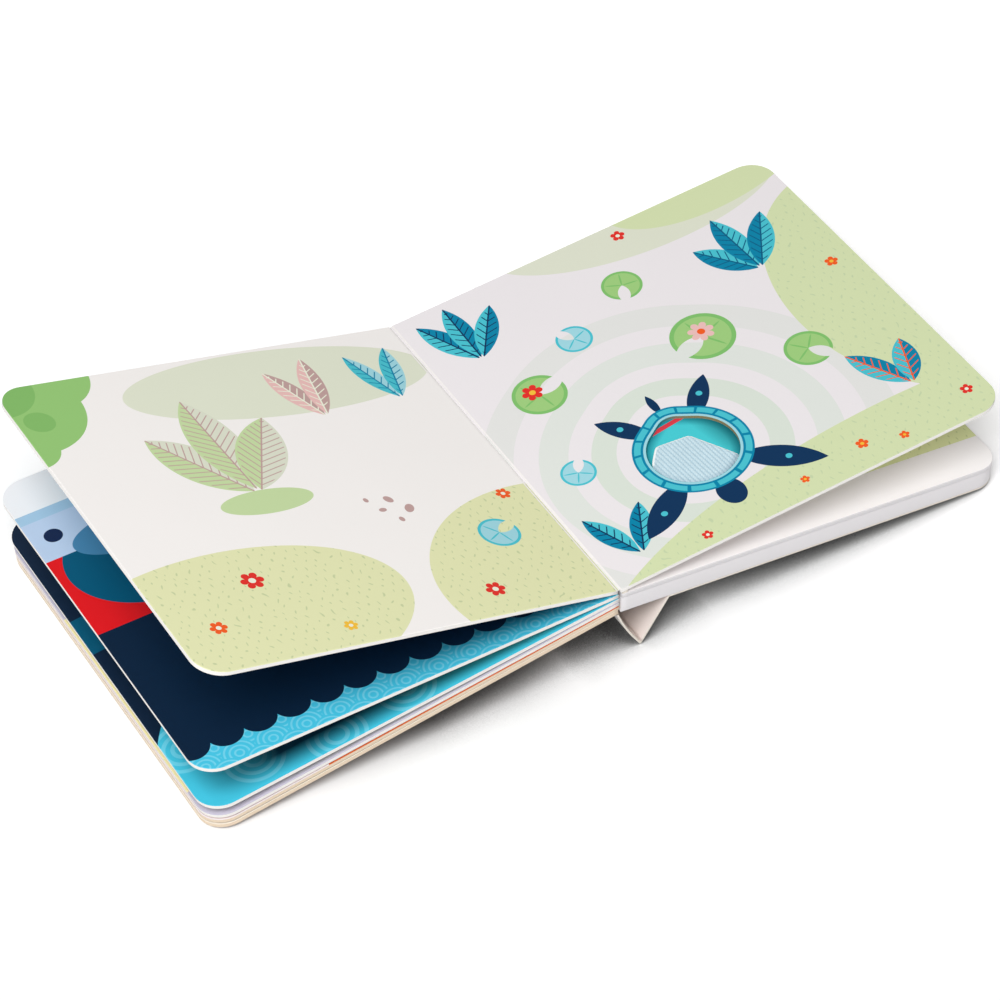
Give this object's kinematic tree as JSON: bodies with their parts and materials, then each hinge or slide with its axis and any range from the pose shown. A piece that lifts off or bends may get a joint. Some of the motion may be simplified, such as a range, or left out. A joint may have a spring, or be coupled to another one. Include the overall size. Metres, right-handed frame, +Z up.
{
  "type": "sound book",
  "caption": "Square children's sound book in board, standing open as a low tent on its outer edges, with a touch window and a thick sound block.",
  "frame": {"origin": "on the floor under the gutter, at the middle of the object's footprint", "axes": "+X towards the sound block's far edge, +Y along the spine away from the reader, +Z up"},
  "size_m": [0.3963, 0.2, 0.0921],
  "materials": {
    "printed_board": "satin printed board, cream core at its edges",
    "grey_board": "raw grey board",
    "cover_card": "satin coated card, cream at its edges",
    "knit": "fine ribbed knit, matt",
    "case_plastic": "fine matt moulding",
    "plated_steel": "zinc plated",
    "circuit_laminate": "green lacquered laminate",
    "chip_resin": "poured black resin",
    "cone_paper": "black pressed paper",
    "magnet": "nickelled magnet",
    "cell_steel": "nickelled steel can",
    "contact_nickel": "nickelled spring strip",
    "switch_plastic": "black moulding",
    "button_plastic": "white moulding",
    "lead_plastic": "insulated wire"
  },
  "bodies": {
    "back_half": {"right_leaf": "printed_board", "knit_patch": "knit", "block_tray": "printed_board", "block_core": "grey_board", "back_cover": "cover_card", "module_base": "case_plastic", "module_lid": "case_plastic", "case_screws": "plated_steel", "circuit_board": "circuit_laminate", "sound_chip": "chip_resin", "battery_door": "case_plastic", "door_screw": "plated_steel", "speaker_frame": "plated_steel", "speaker_cone": "cone_paper", "speaker_magnet": "magnet", "button_cell_1": "cell_steel", "button_cell_2": "cell_steel", "button_cell_3": "cell_steel", "contact_plus": "contact_nickel", "contact_link": "contact_nickel", "contact_door": "contact_nickel", "contact_minus": "contact_nickel", "switch_body": "switch_plastic", "snap_dome": "contact_nickel", "speaker_leads": "lead_plastic", "battery_leads": "lead_plastic"},
    "front_half": {"front_cover": "printed_board", "left_pages": "printed_board"},
    "margin": {"cover_margin": "cover_card"},
    "spine": {"spine_panel": "cover_card"},
    "button": {"touch_button": "button_plastic"},
    "switch": {"switch_knob": "switch_plastic"}
  },
  "joints": [
    {"name": "front_cover_hinge", "type": "hinge", "parent": "back_half", "child": "front_half", "pos_m": [0, 0, 0.03815], "axis": [0, 1, 0], "range_deg": [0, 160]},
    {"name": "margin_crease", "type": "hinge", "parent": "back_half", "child": "margin", "pos_m": [0.02426, 0, 0.02099], "axis": [0, 1, 0], "range_deg": [0, 61.5]},
    {"name": "spine_crease", "type": "hinge", "parent": "margin", "child": "spine", "pos_m": [0.00979, 0, 0.0006], "axis": [0, 1, 0], "range_deg": [-49.7, 0]},
    {"name": "button_press", "type": "slide", "parent": "back_half", "child": "button", "axis": [-0.1192, 0, -0.9929], "range_m": [0, 0.0004], "stiffness_N_per_m": 400},
    {"name": "switch_slide", "type": "slide", "parent": "back_half", "child": "switch", "axis": [0.9929, 0, -0.1192], "range_m": [0, 0.003]}
  ],
  "couplings": [
    {"joint": "margin_crease", "follows": "front_cover_hinge", "ratio": 0.38427},
    {"joint": "spine_crease", "follows": "front_cover_hinge", "ratio": -0.31}
  ]
}
